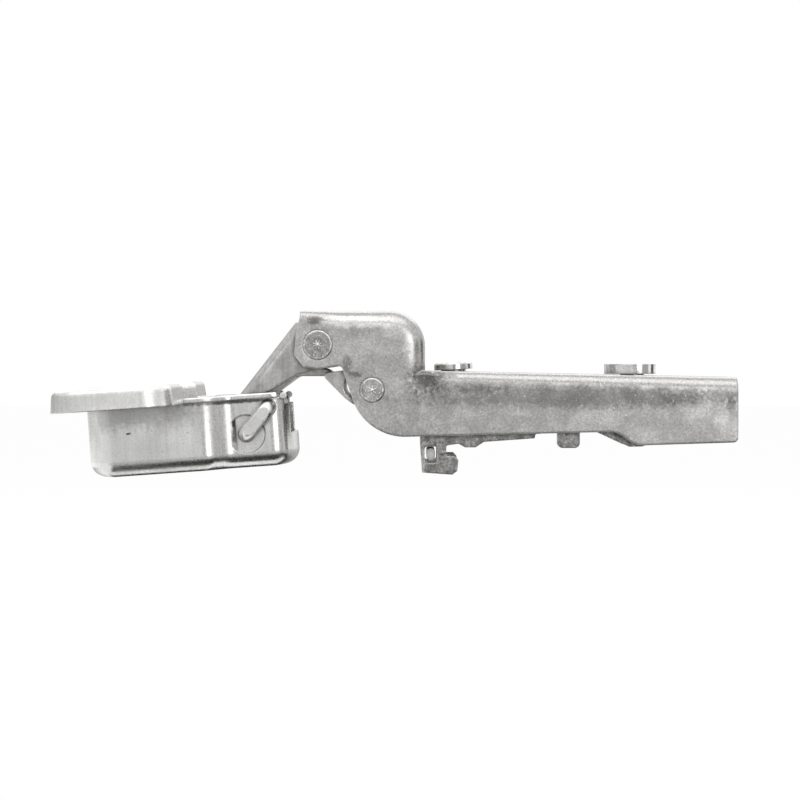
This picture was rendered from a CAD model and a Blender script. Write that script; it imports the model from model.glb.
from math import cos, pi, radians, sin

import bpy
from mathutils import Matrix, Vector


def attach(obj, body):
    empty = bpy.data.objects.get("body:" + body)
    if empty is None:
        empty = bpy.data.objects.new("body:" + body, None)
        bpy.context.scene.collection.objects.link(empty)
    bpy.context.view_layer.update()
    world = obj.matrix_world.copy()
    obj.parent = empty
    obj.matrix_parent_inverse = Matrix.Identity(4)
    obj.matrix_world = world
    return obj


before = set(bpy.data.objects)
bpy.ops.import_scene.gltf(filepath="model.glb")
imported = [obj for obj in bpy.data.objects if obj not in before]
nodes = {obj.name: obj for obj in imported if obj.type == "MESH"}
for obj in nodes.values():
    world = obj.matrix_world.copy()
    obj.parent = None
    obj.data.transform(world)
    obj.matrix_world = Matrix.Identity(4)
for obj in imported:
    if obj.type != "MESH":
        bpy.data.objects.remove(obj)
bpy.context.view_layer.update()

MM = 0.001

# the side view's zero, in the arm's nose; places on the hinge are given from it in millimetres
DATUM = (-22.0, 17.55)
# near sides of the arm, the cup, its neck and its wings, along the pivots
ARM_SIDE = -8.8
CUP_SIDE = -10.8
NECK_SIDE = -8.6
WING_SIDE = -29.0
CUP_TILT = radians(4.0)
# pivots of the two rivets
FRONT_PIVOT = (0.2, -0.15)
REAR_PIVOT = (9.1, -7.55)


def place(x, z, y=0.0):
    """Point in metres from the side view's zero."""
    return Vector(((DATUM[0] + x) * MM, y * MM, (DATUM[1] + z) * MM))


# ---------------------------------------------------------------- camera
def add_camera():
    """Side view along the pivots, a little left of the arm's middle."""
    data = bpy.data.cameras.new("side_camera")
    data.sensor_width = 36
    data.lens = 88.36
    data.clip_start = 0.01
    data.clip_end = 20
    camera = bpy.data.objects.new("side_camera", data)
    camera.location = place(15.9, -2.9, -330)
    camera.rotation_euler = (radians(88.882), 0, radians(0.394))
    bpy.context.scene.collection.objects.link(camera)
    bpy.context.scene.camera = camera


# ---------------------------------------------------------------- node tree helper
class Tree:
    """Adds nodes and links to one node tree."""

    def __init__(self, tree):
        self.tree = tree

    def add(self, kind, **values):
        node = self.tree.nodes.new(kind)
        for key, value in values.items():
            setattr(node, key, value)
        return node

    def feed(self, node, socket, value):
        """Links an output, or sets a plain value."""
        target = node.inputs[socket]
        if isinstance(value, bpy.types.NodeSocket):
            self.tree.links.new(value, target)
        else:
            target.default_value = value

    def noise(self, vector, scale, detail=4.0, roughness=0.5, distortion=0.0):
        node = self.add("ShaderNodeTexNoise")
        self.feed(node, "Vector", vector)
        self.feed(node, "Scale", scale)
        self.feed(node, "Detail", detail)
        self.feed(node, "Roughness", roughness)
        self.feed(node, "Distortion", distortion)
        return node.outputs["Fac"]

    def math(self, operation, a, b=0.0, c=None, clamp=False):
        node = self.add("ShaderNodeMath", operation=operation, use_clamp=clamp)
        self.feed(node, 0, a)
        self.feed(node, 1, b)
        if c is not None:
            self.feed(node, 2, c)
        return node.outputs[0]

    def remap(self, value, low, high, out_low=0.0, out_high=1.0, smooth=False):
        node = self.add("ShaderNodeMapRange")
        if smooth:
            node.interpolation_type = "SMOOTHSTEP"
        sockets = ("Value", "From Min", "From Max", "To Min", "To Max")
        for socket, number in zip(sockets, (value, low, high, out_low, out_high)):
            self.feed(node, socket, number)
        return node.outputs["Result"]

    def mix_colour(self, factor, a, b, blend="MIX"):
        node = self.add("ShaderNodeMix", data_type="RGBA", blend_type=blend)
        self.feed(node, 0, factor)
        self.feed(node, 6, a)
        self.feed(node, 7, b)
        return node.outputs[2]

    def mapped(self, vector, scale=(1, 1, 1), turn=(0, 0, 0), move=(0, 0, 0)):
        node = self.add("ShaderNodeMapping")
        self.feed(node, "Vector", vector)
        node.inputs["Location"].default_value = move
        node.inputs["Rotation"].default_value = turn
        node.inputs["Scale"].default_value = scale
        return node.outputs[0]

    def vector(self, operation, a, b=None):
        """Vector maths; lengths and dot products come out as one value."""
        node = self.add("ShaderNodeVectorMath", operation=operation)
        self.feed(node, 0, a)
        if b is not None:
            self.feed(node, 1, b)
        return node.outputs["Value" if operation in ("LENGTH", "DOT_PRODUCT") else "Vector"]

    def along_axis(self, axis, value):
        """Vector with one value, on axis 0, 1 or 2."""
        node = self.add("ShaderNodeCombineXYZ")
        self.feed(node, axis, value)
        return node.outputs[0]

    def group(self, group, **values):
        node = self.add("ShaderNodeGroup", node_tree=group)
        for label, value in values.items():
            self.feed(node, label.replace("_", " "), value)
        return node.outputs


# ---------------------------------------------------------------- floor, cards, lamps and world
FLOOR_LEVEL = -0.06
FLOOR_HALF = 3.0
FLOOR_TONE = 0.95
FLOOR_GLOW = 0.9
WORLD_TONE = 0.9
CARD_RADIUS = 0.9


def plain(tone):
    """Grey with full alpha."""
    return (tone, tone, tone, 1)


def blank_material(name):
    """Material with an empty node tree."""
    material = bpy.data.materials.new(name)
    material.use_nodes = True
    tree = Tree(material.node_tree)
    tree.tree.nodes.clear()
    return material, tree


def seen_directly(tree):
    """1 for what the camera, metal and glass see of the background."""
    path = tree.add("ShaderNodeLightPath").outputs
    seen = tree.math("MAXIMUM", path["Is Camera Ray"], path["Is Glossy Ray"])
    return tree.math("MAXIMUM", seen, path["Is Transmission Ray"])


def pale_floor():
    """Matt pale floor, near white where it is seen, that keeps a shadow."""
    material, tree = blank_material("pale_floor")
    matt = tree.add("ShaderNodeBsdfDiffuse")
    matt.inputs["Color"].default_value = plain(FLOOR_TONE)
    white = tree.add("ShaderNodeEmission")
    mix = tree.add("ShaderNodeMixShader")
    tree.feed(mix, 0, tree.math("MULTIPLY", seen_directly(tree), FLOOR_GLOW))
    tree.feed(mix, 1, matt.outputs[0])
    tree.feed(mix, 2, white.outputs[0])
    tree.feed(tree.add("ShaderNodeOutputMaterial"), "Surface", mix.outputs[0])
    return material


def card(name, tone):
    """Glow of one plain tone, for metal to reflect."""
    material, tree = blank_material(name)
    glow = tree.add("ShaderNodeEmission")
    glow.inputs["Color"].default_value = plain(tone)
    tree.feed(tree.add("ShaderNodeOutputMaterial"), "Surface", glow.outputs[0])
    return material


def add_stage(name, points, faces, material):
    """Piece of the stage, which is no part of the hinge."""
    mesh = bpy.data.meshes.new(name)
    mesh.from_pydata(points, [], faces)
    mesh.materials.append(material)
    piece = bpy.data.objects.new(name, mesh)
    bpy.context.scene.collection.objects.link(piece)
    return piece


def show_only_in_metal(piece):
    for ray in ("camera", "diffuse", "transmission", "shadow", "volume_scatter"):
        setattr(piece, f"visible_{ray}", False)


def around(turn, slope, distance):
    """Point at a turn off the front and a slope, in degrees."""
    level = distance * cos(radians(slope))
    return (level * sin(radians(turn)), -level * cos(radians(turn)), distance * sin(radians(slope)))


def add_card_arc(name, turns, slopes, tone, sides=24):
    """Upright arc of card seen only in the metal, between two turns and two slopes."""
    points, faces = [], []
    for step in range(sides + 1):
        turn = turns[0] + (turns[1] - turns[0]) * step / sides
        points += [around(turn, slope, CARD_RADIUS) for slope in slopes]
    for step in range(sides):
        here = 2 * step
        faces.append((here, here + 2, here + 3, here + 1))
    show_only_in_metal(add_stage(name, points, faces, card(name, tone)))


def outline(box, level):
    """Corners of a flat box: left, front, right, back."""
    left, front, right, back = box
    return [(left, front, level), (right, front, level), (right, back, level), (left, back, level)]


def add_mat(name, inner, outer, lift, tone):
    """Flat mat between two outlines just over the floor, seen only in the metal."""
    level = FLOOR_LEVEL + lift
    faces = [(k, (k + 1) % 4, 4 + (k + 1) % 4, 4 + k) for k in range(4)]
    points = outline(inner, level) + outline(outer, level)
    show_only_in_metal(add_stage(name, points, faces, card(name, tone)))


def add_softbox(name, turn, slope, distance, size, brightness):
    """Area lamp aimed at the hinge."""
    data = bpy.data.lights.new(name, "AREA")
    data.shape = "RECTANGLE"
    data.size, data.size_y = size
    data.energy = brightness * pi * size[0] * size[1]
    lamp = bpy.data.objects.new(name, data)
    lamp.location = around(turn, slope, distance)
    lamp.rotation_euler = (-lamp.location).to_track_quat("-Z", "Y").to_euler()
    bpy.context.scene.collection.objects.link(lamp)


def add_world():
    """White where it is seen, a little greyer where it only lights."""
    world = bpy.data.worlds.new("studio")
    bpy.context.scene.world = world
    world.use_nodes = True
    tree = Tree(world.node_tree)
    tree.tree.nodes.clear()
    grey = tree.add("ShaderNodeBackground")
    grey.inputs["Color"].default_value = plain(WORLD_TONE)
    white = tree.add("ShaderNodeBackground")
    white.inputs["Color"].default_value = plain(1)
    mix = tree.add("ShaderNodeMixShader")
    tree.feed(mix, 0, seen_directly(tree))
    tree.feed(mix, 1, grey.outputs[0])
    tree.feed(mix, 2, white.outputs[0])
    tree.feed(tree.add("ShaderNodeOutputWorld"), "Surface", mix.outputs[0])


add_camera()
add_world()
floor_corners = outline((-FLOOR_HALF, -FLOOR_HALF, FLOOR_HALF, FLOOR_HALF), FLOOR_LEVEL)
add_stage("floor", floor_corners, [(0, 1, 2, 3)], pale_floor())
# name, turns and slopes in degrees, tone
for card_arc in (
    ("front_card", (-3.5, 16), (-4, 12), 0.25),
    ("side_card", (42, 80), (-4, 12), 0.4),
    ("left_card", (-95, -30), (-4, 25), 0.72),
    ("left_rear_card", (-150, -95), (-4, 25), 0.5),
    ("light_card", (-30, -3.5), (-4, 10), 0.85),
    ("right_card", (98, 122), (-4, 14), 0.06),
    ("rear_card", (160, 200), (-4, 8), 0.45),
):
    add_card_arc(*card_arc)
# name, inner and outer outline, lift off the floor, tone
add_mat("dark_mat", (-0.077, -0.0205, 0.049, 0.0205), (-0.078, -0.13, 0.19, 0.13), 0.0003, 0.03)
add_mat("grey_mat", (-0.20, -0.13, 0.19, 0.13), (-0.201, -0.9, 0.9, 0.9), 0.0002, 0.5)
# name, turn, slope, distance, width and height, brightness
for softbox in (
    ("top_softbox", 0, 72, 0.7, (0.9, 0.5), 1.05),
    ("right_softbox", 27, 8, 0.75, (0.36, 0.5), 1.35),
    ("rear_softbox", 180, 40, 0.7, (0.9, 0.3), 1.2),
):
    add_softbox(*softbox)


# ---------------------------------------------------------------- shader groups
def new_group(name, inputs, outputs):
    """Group with named sockets: (name, kind, default) in, (name, kind) out."""
    group = bpy.data.node_groups.new(name, "ShaderNodeTree")
    for label, kind, default in inputs:
        socket = group.interface.new_socket(label, in_out="INPUT", socket_type=kind)
        if default is not None:
            socket.default_value = default
    for label, kind in outputs:
        group.interface.new_socket(label, in_out="OUTPUT", socket_type=kind)
    tree = Tree(group)
    given = tree.add("NodeGroupInput").outputs
    sink = tree.add("NodeGroupOutput")
    return group, tree, given, sink


VECTOR = "NodeSocketVector"
FLOAT = "NodeSocketFloat"


def make_cloudy_plating():
    """Uneven nickel: soft cloudy patches, slow swells and a fine grain."""
    group, tree, given, sink = new_group(
        "cloudy_plating",
        [("Vector", VECTOR, None), ("Patch Size", FLOAT, 0.005), ("Grain Size", FLOAT, 0.0004)],
        [("Tone", FLOAT), ("Grain", FLOAT), ("Swell", FLOAT)],
    )
    patch_scale = tree.math("DIVIDE", 1.0, given["Patch Size"])
    grain_scale = tree.math("DIVIDE", 1.0, given["Grain Size"])
    swell_scale = tree.math("MULTIPLY", patch_scale, 0.55)
    patches = tree.noise(given["Vector"], patch_scale, detail=5.0, roughness=0.55, distortion=0.4)
    swell = tree.noise(given["Vector"], swell_scale, detail=2.0, roughness=0.4)
    grain = tree.noise(given["Vector"], grain_scale, detail=3.0, roughness=0.6)
    tree.feed(sink, "Tone", tree.remap(patches, 0.36, 0.66, smooth=True))
    tree.feed(sink, "Grain", grain)
    tree.feed(sink, "Swell", swell)
    return group


def make_worn_edges():
    """Edges rubbed bright, from the difference between the true and the rounded normal."""
    group, tree, given, sink = new_group(
        "worn_edges",
        [("Radius", FLOAT, 0.0003), ("Breakup", FLOAT, 0.5)],
        [("Mask", FLOAT), ("Normal", VECTOR)],
    )
    bevel = tree.add("ShaderNodeBevel", samples=6)
    tree.feed(bevel, "Radius", given["Radius"])
    true_normal = tree.add("ShaderNodeNewGeometry").outputs["True Normal"]
    agreement = tree.vector("DOT_PRODUCT", bevel.outputs[0], true_normal)
    turned = tree.remap(tree.math("SUBTRACT", 1.0, agreement), 0.05, 0.2)
    breakup = tree.remap(given["Breakup"], 0.0, 1.0, 0.4, 1.0)
    tree.feed(sink, "Mask", tree.math("MULTIPLY", turned, breakup, clamp=True))
    tree.feed(sink, "Normal", bevel.outputs[0])
    return group


def make_burnished_bends():
    """Bends rubbed bright by the press, where the plate turns away from the flat sides."""
    group, tree, given, sink = new_group(
        "burnished_bends",
        [("Start", FLOAT, 0.985), ("Full", FLOAT, 0.94)],
        [("Mask", FLOAT)],
    )
    parts = tree.add("ShaderNodeSeparateXYZ")
    tree.feed(parts, 0, tree.add("ShaderNodeNewGeometry").outputs["Normal"])
    flat = tree.math("ABSOLUTE", parts.outputs["Y"])
    tree.feed(sink, "Mask", tree.remap(flat, given["Start"], given["Full"], 0.0, 1.0, smooth=True))
    return group


def make_fine_scratches():
    """Two sets of hairline scratches, small dark pits and bright specks."""
    group, tree, given, sink = new_group(
        "fine_scratches",
        [("Vector", VECTOR, None), ("Spacing", FLOAT, 0.0008), ("Pit Size", FLOAT, 0.0005),
         ("Speck Scale", FLOAT, 2600.0)],
        [("Lines", FLOAT), ("Pits", FLOAT), ("Specks", FLOAT)],
    )
    scale = tree.math("DIVIDE", 1.0, given["Spacing"])
    pit_scale = tree.math("DIVIDE", 1.0, given["Pit Size"])
    level = tree.mapped(given["Vector"], scale=(0.06, 1, 1), turn=(0, 0.35, 0))
    upright = tree.mapped(given["Vector"], scale=(1, 1, 0.07), turn=(0, 0.5, 0))
    aside = tree.mapped(given["Vector"], move=(0.4, 0.7, 0.2))
    first = tree.noise(level, scale, detail=2.0, roughness=0.6)
    second = tree.noise(upright, scale, detail=2.0, roughness=0.6)
    pits = tree.noise(given["Vector"], pit_scale, detail=1.0)
    specks = tree.noise(aside, given["Speck Scale"], detail=1.0)
    lines = tree.math("MAXIMUM", tree.remap(first, 0.66, 0.72), tree.remap(second, 0.68, 0.74))
    tree.feed(sink, "Lines", lines)
    tree.feed(sink, "Pits", tree.remap(pits, 0.73, 0.8))
    tree.feed(sink, "Specks", tree.remap(specks, 0.68, 0.76))
    return group


def make_drawn_streaks():
    """Streaks that pressing draws along one direction, up the cup's walls."""
    group, tree, given, sink = new_group(
        "drawn_streaks",
        [("Vector", VECTOR, None), ("Width", FLOAT, 0.0005)],
        [("Streaks", FLOAT)],
    )
    scale = tree.math("DIVIDE", 1.0, given["Width"])
    stretched = tree.mapped(given["Vector"], scale=(1, 1, 0.05))
    streaks = tree.noise(stretched, scale, detail=3.0, roughness=0.6)
    tree.feed(sink, "Streaks", streaks)
    return group


SMUDGE_WANDER = 2.4


def make_smudge():
    """Soft oval smudge with a broken edge, at one place on the hinge."""
    group, tree, given, sink = new_group(
        "smudge",
        [("Vector", VECTOR, None), ("Centre", VECTOR, (0, 0, 0)), ("Size", VECTOR, (0.001,) * 3),
         ("Breakup", FLOAT, 0.5), ("Breakup Scale", FLOAT, 1500.0)],
        [("Mask", FLOAT)],
    )
    away = tree.vector("SUBTRACT", given["Vector"], given["Centre"])
    share = tree.vector("LENGTH", tree.vector("DIVIDE", away, given["Size"]))
    noise = tree.noise(given["Vector"], given["Breakup Scale"], detail=4.0, roughness=0.6)
    wander = tree.math("MULTIPLY", tree.math("SUBTRACT", noise, 0.5), given["Breakup"])
    reach = tree.math("ADD", share, tree.math("MULTIPLY", wander, SMUDGE_WANDER))
    tree.feed(sink, "Mask", tree.remap(reach, 0.35, 1.1, 1.0, 0.0, smooth=True))
    return group


def make_crevice_grime():
    """Grime in corners and under edges, where little light reaches."""
    group, tree, given, sink = new_group(
        "crevice_grime",
        [("Reach", FLOAT, 0.0014), ("Breakup", FLOAT, 0.5)],
        [("Mask", FLOAT)],
    )
    shaded = tree.add("ShaderNodeAmbientOcclusion", samples=8)
    tree.feed(shaded, "Distance", given["Reach"])
    mask = tree.remap(shaded.outputs["AO"], 0.35, 0.85, 1.0, 0.0, smooth=True)
    breakup = tree.remap(given["Breakup"], 0.3, 0.7, 0.75, 1.0)
    tree.feed(sink, "Mask", tree.math("MULTIPLY", mask, breakup, clamp=True))
    return group


def make_ring_mark():
    """Turned or pressed ring about an axis along the pivots."""
    group, tree, given, sink = new_group(
        "ring_mark",
        [("Vector", VECTOR, None), ("Centre", VECTOR, (0, 0, 0)), ("Radius", FLOAT, 0.002),
         ("Width", FLOAT, 0.0002)],
        [("Mask", FLOAT)],
    )
    away = tree.vector("SUBTRACT", given["Vector"], given["Centre"])
    length = tree.vector("LENGTH", tree.vector("MULTIPLY", away, (1, 0, 1)))
    off_ring = tree.math("ABSOLUTE", tree.math("SUBTRACT", length, given["Radius"]))
    share = tree.math("DIVIDE", off_ring, given["Width"])
    tree.feed(sink, "Mask", tree.remap(share, 0.4, 1.0, 1.0, 0.0, smooth=True))
    return group


cloudy_plating = make_cloudy_plating()
crevice_grime = make_crevice_grime()
ring_mark = make_ring_mark()
worn_edges = make_worn_edges()
burnished_bends = make_burnished_bends()
fine_scratches = make_fine_scratches()
drawn_streaks = make_drawn_streaks()
smudge = make_smudge()


# ---------------------------------------------------------------- materials
BURNISHED = (0.44, 0.435, 0.425, 1)
RUBBED = (0.9, 0.895, 0.88, 1)
PITTED = (0.2, 0.195, 0.19, 1)
SPECKED = (0.95, 0.945, 0.93, 1)
PIT_STRENGTH = 0.5
# span of the fine grain's noise, and heights of the marks in metres
GRAIN_RANGE = (0.3, 0.7)
STREAK_HEIGHT = 0.000006
SCRATCH_DEPTH = 0.000004
PIT_DEPTH = 0.00001
# what each mark adds to the roughness
DARK_PATCH, LIGHT_PATCH = 0.04, -0.03
LOW_GRAIN, HIGH_GRAIN = -0.03, 0.04
RUBBED_BEND, DARK_SMUDGE, GRIME, RUBBED_EDGE = -0.12, 0.12, 0.1, -0.06


def plated_metal(name, light, dark, roughness, patch=0.006, swell=0.0, grain=0.0, edge=0.0003,
                 grain_size=0.0004, speckle=0.05, streaks=0.0, smudges=(), rings=(), edge_wear=0.35,
                 grime_depth=0.35, cup_lined=False, burnish=0.0, dull=None, specks=0.0):
    """Nickel plate over pressed steel, in metres. Smudges: (centre, size, tone), with a tone
    under 1 for dark ones. Rings: (centre, radius, width, tone). Dull: (centre, size) of a
    place that isn't burnished. Cup lined: laid out along the cup's own lines."""
    material = bpy.data.materials.new(name)
    material.use_nodes = True
    tree = Tree(material.node_tree)
    shader = material.node_tree.nodes["Principled BSDF"]
    spot = tree.add("ShaderNodeTexCoord").outputs["Object"]
    if cup_lined:
        spot = tree.mapped(spot, turn=(0, CUP_TILT, 0), move=CUP_SHIFT)
    plating = tree.group(cloudy_plating, Vector=spot, Patch_Size=patch, Grain_Size=grain_size)
    scratches = tree.group(fine_scratches, Vector=spot)
    edges = tree.group(worn_edges, Radius=edge, Breakup=plating["Grain"])

    colour = tree.mix_colour(plating["Tone"], (*dark, 1), (*light, 1))
    tone = tree.remap(plating["Grain"], *GRAIN_RANGE, 1 - speckle, 1 + speckle)
    rough = tree.remap(plating["Tone"], 0, 1, roughness + DARK_PATCH, roughness + LIGHT_PATCH)
    grain_rough = tree.remap(plating["Grain"], *GRAIN_RANGE, LOW_GRAIN, HIGH_GRAIN)
    rough = tree.math("ADD", rough, grain_rough)
    height = tree.math("MULTIPLY", plating["Swell"], swell)
    height = tree.math("MULTIPLY_ADD", plating["Grain"], grain, height)
    height = tree.math("MULTIPLY_ADD", scratches["Lines"], -SCRATCH_DEPTH, height)
    height = tree.math("MULTIPLY_ADD", scratches["Pits"], -PIT_DEPTH, height)
    if streaks:
        drawn = tree.group(drawn_streaks, Vector=spot)["Streaks"]
        streak_tone = tree.remap(drawn, *GRAIN_RANGE, 1 - streaks, 1 + streaks)
        tone = tree.math("MULTIPLY", tone, streak_tone)
        height = tree.math("MULTIPLY_ADD", drawn, STREAK_HEIGHT, height)
    if burnish:
        bend = tree.group(burnished_bends)["Mask"]
        if dull:
            centre, size = dull
            kept = tree.group(smudge, Vector=spot, Centre=centre, Size=size, Breakup=0.1)["Mask"]
            bend = tree.math("MULTIPLY", bend, tree.math("SUBTRACT", 1.0, kept))
        colour = tree.mix_colour(tree.math("MULTIPLY", bend, burnish), colour, BURNISHED)
        rough = tree.math("MULTIPLY_ADD", bend, RUBBED_BEND, rough)
    for centre, size, strength in smudges:
        mask = tree.group(smudge, Vector=spot, Centre=centre, Size=size)["Mask"]
        tone = tree.math("MULTIPLY", tone, tree.remap(mask, 0, 1, 1, strength))
        if strength < 1:
            rough = tree.math("MULTIPLY_ADD", mask, DARK_SMUDGE, rough)
    for centre, radius, width, strength in rings:
        mark = tree.group(ring_mark, Vector=spot, Centre=centre, Radius=radius, Width=width)
        tone = tree.math("MULTIPLY", tone, tree.remap(mark["Mask"], 0, 1, 1, strength))
    grime = tree.group(crevice_grime, Breakup=plating["Grain"])["Mask"]
    tone = tree.math("MULTIPLY", tone, tree.remap(grime, 0, 1, 1, grime_depth))
    rough = tree.math("MULTIPLY_ADD", grime, GRIME, rough)
    rough = tree.math("MULTIPLY_ADD", edges["Mask"], RUBBED_EDGE, rough, clamp=True)

    shade = tree.add("ShaderNodeCombineColor")
    for channel in ("Red", "Green", "Blue"):
        tree.feed(shade, channel, tone)
    colour = tree.mix_colour(1.0, colour, shade.outputs[0], "MULTIPLY")
    colour = tree.mix_colour(tree.math("MULTIPLY", edges["Mask"], edge_wear), colour, RUBBED)
    pitting = tree.math("MULTIPLY", scratches["Pits"], PIT_STRENGTH)
    colour = tree.mix_colour(pitting, colour, PITTED)
    if specks:
        speckling = tree.math("MULTIPLY", scratches["Specks"], specks)
        colour = tree.mix_colour(speckling, colour, SPECKED)

    relief = tree.add("ShaderNodeBump")
    relief.inputs["Distance"].default_value = 1.0
    tree.feed(relief, "Height", height)
    tree.feed(relief, "Normal", edges["Normal"])
    tree.feed(shader, "Base Color", colour)
    shader.inputs["Metallic"].default_value = 1.0
    tree.feed(shader, "Roughness", rough)
    tree.feed(shader, "Normal", relief.outputs[0])
    return material


# the cup's own lines: u along its rim, v up from the door, from the middle of its mouth
CUP_MIDDLE = place(-21.355, -9.7)
CUP_SHIFT = -(Matrix.Rotation(CUP_TILT, 3, "Y") @ CUP_MIDDLE)


def on_cup(u, v, y=CUP_SIDE):
    return (u * MM, y * MM, v * MM)


def on_arm(x, z):
    return tuple(place(x, z, ARM_SIDE))


def oval(across, up, deep=1.5):
    """Size of a smudge, from millimetres across, up and into the plate."""
    return (across * MM, deep * MM, up * MM)


arm_smudges = [
    # spots on the nose and beside the rear rivet
    (on_arm(-0.3, 3.9), oval(1.6, 0.9), 0.42),
    (on_arm(5.0, -3.4), oval(1.1, 2.0), 0.5),
    (on_arm(6.4, -5.0), oval(1.2, 0.7), 0.5),
    # cloudy places on the hump's side
    (on_arm(12.5, 1.5), oval(3.0, 3.5), 0.8),
    (on_arm(6.0, 2.6), oval(3.6, 1.6), 0.8),
    (on_arm(2.0, -7.5), oval(3.0, 3.0), 1.1),
    # light run under the hump's bend and down its rear
    (on_arm(6.6, 3.7), oval(7.5, 1.5), 1.45),
    (on_arm(12.6, 2.6), oval(2.6, 1.9), 1.35),
    (on_arm(15.2, -0.6), oval(1.4, 3.4), 1.3),
    # darker line along the arm
    (on_arm(24.5, -7.2), oval(8.0, 0.9), 0.75),
    (on_arm(42.0, -8.7), oval(34.0, 2.4), 0.58),
    # handled tail
    (on_arm(67.9, -10.0), oval(1.0, 2.2), 0.62),
    (on_arm(60.0, -8.9), oval(3.4, 2.0), 0.85),
    (on_arm(66.3, -12.4), oval(1.4, 1.0), 1.2),
    # dark gusset at the hump's foot
    (on_arm(17.8, -5.6), oval(3.5, 3.1, 3.0), 0.3),
    (on_arm(21.0, -5.0), oval(2.6, 1.0, 2.0), 0.6),
]
GUSSET = (on_arm(17.9, -5.6), oval(6.0, 5.0, 4.0))
cup_smudges = [
    # speck, shade under the wing, line under the rim, lower edge, wing's face
    (on_cup(-9.5, -4.3), oval(0.45, 0.22), 0.15),
    (on_cup(-14.0, -0.6), oval(24.0, 3.8), 0.72),
    (on_cup(5.5, -0.35, NECK_SIDE), oval(12.0, 0.4, 3.0), 0.2),
    (on_cup(-3.0, -11.0), oval(16.0, 1.6), 0.8),
    (on_cup(-15.0, 1.6, WING_SIDE), oval(24.0, 2.6, 6.0), 0.86),
]
rivet_smudges = [(on_arm(*REAR_PIVOT), oval(2.6, 2.6), 1.35)]
rivet_rings = [
    (tuple(place(*FRONT_PIVOT)), 2.25 * MM, 0.22 * MM, 1.8),
    (tuple(place(*REAR_PIVOT)), 1.86 * MM, 0.2 * MM, 1.4),
]

arm_plate = plated_metal(
    "arm_nickel", light=(0.64, 0.63, 0.615), dark=(0.48, 0.47, 0.46), roughness=0.38,
    patch=0.0034, swell=0.00014, grain=0.000014, edge=0.0006, grain_size=0.0003, speckle=0.24,
    smudges=arm_smudges, edge_wear=0.8, burnish=1.0, dull=GUSSET, specks=0.6)
cup_plate = plated_metal(
    "cup_nickel", light=(0.90, 0.895, 0.88), dark=(0.78, 0.775, 0.76), roughness=0.25,
    patch=0.008, swell=0.00022, grain=0.000006, speckle=0.08, streaks=0.06, smudges=cup_smudges,
    cup_lined=True)
link_plate = plated_metal(
    "link_nickel", light=(0.66, 0.65, 0.64), dark=(0.44, 0.43, 0.42), roughness=0.30,
    patch=0.004, swell=0.00006, grain=0.000008, edge=0.0004, speckle=0.12, streaks=0.15,
    edge_wear=0.7, grime_depth=0.15, burnish=0.8)
carrier_plate = plated_metal(
    "carrier_nickel", light=(0.47, 0.465, 0.455), dark=(0.25, 0.245, 0.24), roughness=0.34,
    patch=0.0014, swell=0.00006, grain=0.00004, edge=0.0004, speckle=0.5, edge_wear=0.8, specks=0.6)
rivet_plate = plated_metal(
    "rivet_nickel", light=(0.50, 0.49, 0.48), dark=(0.30, 0.295, 0.29), roughness=0.36,
    patch=0.0008, swell=0.00004, grain=0.00003, edge=0.00012, grain_size=0.00025, speckle=0.35,
    smudges=rivet_smudges, rings=rivet_rings, edge_wear=0.6, specks=0.8)
mark_plate = plated_metal(
    "peened_nickel", light=(0.95, 0.94, 0.93), dark=(0.85, 0.84, 0.83), roughness=0.3,
    speckle=0.1)
bright_plate = plated_metal(
    "bright_nickel", light=(0.92, 0.915, 0.90), dark=(0.80, 0.795, 0.78), roughness=0.3,
    patch=0.004, swell=0.00004, grain=0.000004, edge=0.00015, speckle=0.08)
screw_plate = plated_metal(
    "screw_nickel", light=(0.84, 0.835, 0.82), dark=(0.62, 0.615, 0.60), roughness=0.18,
    patch=0.0016, swell=0.00004, grain=0.000003, edge=0.0002, speckle=0.08)
wire_steel = plated_metal(
    "wire_steel", light=(0.52, 0.52, 0.52), dark=(0.42, 0.42, 0.42), roughness=0.28,
    patch=0.003, swell=0.00002, grain=0.000004, edge=0.0001)


def give(material, *names):
    """Gives a finish to every slot of the named nodes."""
    for name in names:
        for slot in nodes[name].material_slots:
            slot.material = material


give(arm_plate, "hinge_arm")
give(cup_plate, "hinge_cup")
give(link_plate, "outer_link", "inner_link")
give(carrier_plate, "clip_carrier", "release_latch", "cam_washer")
give(rivet_plate, "front_rivet", "rear_rivet")
give(bright_plate, "cup_axle", "hook_bar", "latch_pin")
give(screw_plate, "side_adjusting_screw", "depth_adjusting_cam")
give(wire_steel, "closing_spring", "latch_spring")


# ---------------------------------------------------------------- small repeated pieces
def new_shape_tree(name, inputs):
    """Geometry Nodes tree with named inputs: (name, kind, default)."""
    tree = Tree(bpy.data.node_groups.new(name, "GeometryNodeTree"))
    sockets = tree.tree.interface
    sockets.new_socket("Geometry", in_out="INPUT", socket_type="NodeSocketGeometry")
    for label, kind, default in inputs:
        sockets.new_socket(label, in_out="INPUT", socket_type=kind).default_value = default
    sockets.new_socket("Finish", in_out="INPUT", socket_type="NodeSocketMaterial")
    sockets.new_socket("Geometry", in_out="OUTPUT", socket_type="NodeSocketGeometry")
    return tree, tree.add("NodeGroupInput").outputs


def finish_shape(tree, given, shape):
    """Ends a tree in real geometry with its finish."""
    real = tree.add("GeometryNodeRealizeInstances")
    tree.feed(real, 0, shape)
    finish = tree.add("GeometryNodeSetMaterial")
    tree.feed(finish, "Geometry", real.outputs[0])
    tree.feed(finish, "Material", given["Finish"])
    tree.feed(tree.add("NodeGroupOutput"), 0, finish.outputs[0])
    return tree.tree


def moved(tree, shape, move=None, turn=None):
    """Shape turned, then moved."""
    node = tree.add("GeometryNodeTransform")
    tree.feed(node, "Geometry", shape)
    if move is not None:
        tree.feed(node, "Translation", move)
    if turn is not None:
        tree.feed(node, "Rotation", turn)
    return node.outputs[0]


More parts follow.
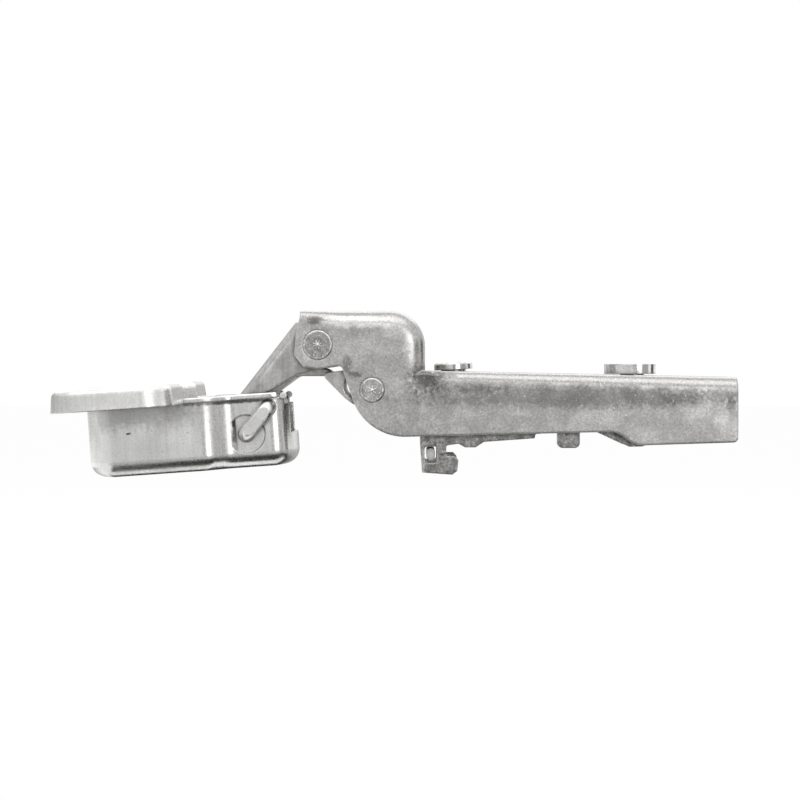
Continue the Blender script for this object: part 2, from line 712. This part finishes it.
FIRST_RIDGE_TURN = 0.35
RIDGE_TAPER = 1.8


def make_peened_star():
    """Ridges crossing in the middle of a rivet's two heads."""
    tree, given = new_shape_tree("peened_star", [
        ("Ridges", "NodeSocketInt", 3), ("Reach", FLOAT, 0.0007), ("Thickness", FLOAT, 0.00008),
        ("Half Width", FLOAT, 0.009), ("Centre", VECTOR, (0, 0, 0))])
    line = tree.add("GeometryNodeCurvePrimitiveLine")
    for socket, side in (("Start", -1), ("End", 1)):
        tree.feed(line, socket, tree.along_axis(0, tree.math("MULTIPLY", given["Reach"], side)))
    ridge = tree.add("GeometryNodeResampleCurve")
    tree.feed(ridge, "Curve", line.outputs[0])
    tree.feed(ridge, "Count", 9)
    taper = tree.add("GeometryNodeSetCurveRadius")
    along = tree.add("GeometryNodeSplineParameter").outputs["Factor"]
    middle = tree.math("ABSOLUTE", tree.math("SUBTRACT", along, 0.5))
    tree.feed(taper, "Curve", ridge.outputs[0])
    narrowing = tree.math("MULTIPLY", middle, RIDGE_TAPER)
    tree.feed(taper, "Radius", tree.math("SUBTRACT", 1.0, narrowing))
    round_bar = tree.add("GeometryNodeCurvePrimitiveCircle")
    tree.feed(round_bar, "Resolution", 8)
    tree.feed(round_bar, "Radius", given["Thickness"])
    bar = tree.add("GeometryNodeCurveToMesh")
    tree.feed(bar, "Curve", taper.outputs[0])
    tree.feed(bar, "Profile Curve", round_bar.outputs[0])
    tree.feed(bar, "Fill Caps", True)
    points = tree.add("GeometryNodePoints")
    tree.feed(points, "Count", given["Ridges"])
    step = tree.math("DIVIDE", pi, given["Ridges"])
    index = tree.add("GeometryNodeInputIndex").outputs[0]
    turn = tree.along_axis(2, tree.math("MULTIPLY_ADD", index, step, FIRST_RIDGE_TURN))
    star = tree.add("GeometryNodeInstanceOnPoints")
    tree.feed(star, "Points", points.outputs[0])
    tree.feed(star, "Instance", bar.outputs[0])
    tree.feed(star, "Rotation", turn)
    upright = moved(tree, star.outputs[0], turn=(pi / 2, 0, 0))
    both = tree.add("GeometryNodeJoinGeometry")
    for side in (-1, 1):
        face = tree.along_axis(1, tree.math("MULTIPLY", given["Half Width"], side))
        tree.feed(both, 0, moved(tree, upright, move=face))
    return finish_shape(tree, given, moved(tree, both.outputs[0], move=given["Centre"]))


def make_screw_thread():
    """Thread ridge wound down a screw's shank."""
    tree, given = new_shape_tree("screw_thread", [
        ("Turns", FLOAT, 3.0), ("Pitch", FLOAT, 0.0007), ("Radius", FLOAT, 0.0021),
        ("Ridge", FLOAT, 0.0003), ("Lean", VECTOR, (0, 0, 0)), ("End", VECTOR, (0, 0, 0))])
    spiral = tree.add("GeometryNodeCurveSpiral")
    tree.feed(spiral, "Resolution", 32)
    tree.feed(spiral, "Rotations", given["Turns"])
    tree.feed(spiral, "Start Radius", given["Radius"])
    tree.feed(spiral, "End Radius", given["Radius"])
    tree.feed(spiral, "Height", tree.math("MULTIPLY", given["Turns"], given["Pitch"]))
    ridge = tree.add("GeometryNodeCurvePrimitiveCircle")
    tree.feed(ridge, "Resolution", 4)
    tree.feed(ridge, "Radius", given["Ridge"])
    thread = tree.add("GeometryNodeCurveToMesh")
    tree.feed(thread, "Curve", spiral.outputs[0])
    tree.feed(thread, "Profile Curve", ridge.outputs[0])
    tree.feed(thread, "Fill Caps", True)
    seated = moved(tree, thread.outputs[0], move=given["End"], turn=given["Lean"])
    return finish_shape(tree, given, seated)


def build_piece(name, tree, finish, body, slot, **values):
    """Runs a shape tree and keeps its result as a plain mesh that rides on a body."""
    maker = bpy.data.objects.new(name + "_maker", bpy.data.meshes.new(name + "_maker"))
    bpy.context.scene.collection.objects.link(maker)
    modifier = maker.modifiers.new(name, "NODES")
    modifier.node_group = tree
    values["Finish"] = finish
    for item in tree.interface.items_tree:
        label = item.name.replace(" ", "_")
        if item.in_out == "INPUT" and label in values:
            modifier[item.identifier] = values[label]
    view = bpy.context.evaluated_depsgraph_get()
    mesh = bpy.data.meshes.new_from_object(maker.evaluated_get(view), depsgraph=view)
    bpy.data.objects.remove(maker)
    mesh.name = name
    piece = bpy.data.objects.new(name, mesh)
    bpy.context.scene.collection.objects.link(piece)
    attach(piece, body)


peened_star = make_peened_star()
RIVET_FACE = 9.05 * MM
build_piece("front_rivet_star", peened_star, mark_plate, "arm", "plated_steel", Ridges=4,
            Reach=0.75 * MM, Thickness=0.10 * MM, Half_Width=RIVET_FACE,
            Centre=tuple(place(*FRONT_PIVOT)))
build_piece("rear_rivet_star", peened_star, mark_plate, "arm", "plated_steel", Ridges=3,
            Reach=0.8 * MM, Thickness=0.11 * MM, Half_Width=RIVET_FACE,
            Centre=tuple(place(*REAR_PIVOT)))

# thread up from the free end of the side screw's shank, along its lean
SCREW_LEAN = radians(3)
SHANK_LENGTH = 8.1
SCREW_TOP = (22.6, -4.2)
thread_end = place(SCREW_TOP[0] + SHANK_LENGTH * sin(SCREW_LEAN),
                   SCREW_TOP[1] - SHANK_LENGTH * cos(SCREW_LEAN))
build_piece("side_screw_thread", make_screw_thread(), screw_plate, "screw", "plated_screw",
            Turns=3.0, Pitch=0.7 * MM, Radius=2.05 * MM, Ridge=0.26 * MM,
            Lean=(0, -SCREW_LEAN, 0), End=tuple(thread_end))

bpy.context.scene.view_settings.view_transform = "Standard"
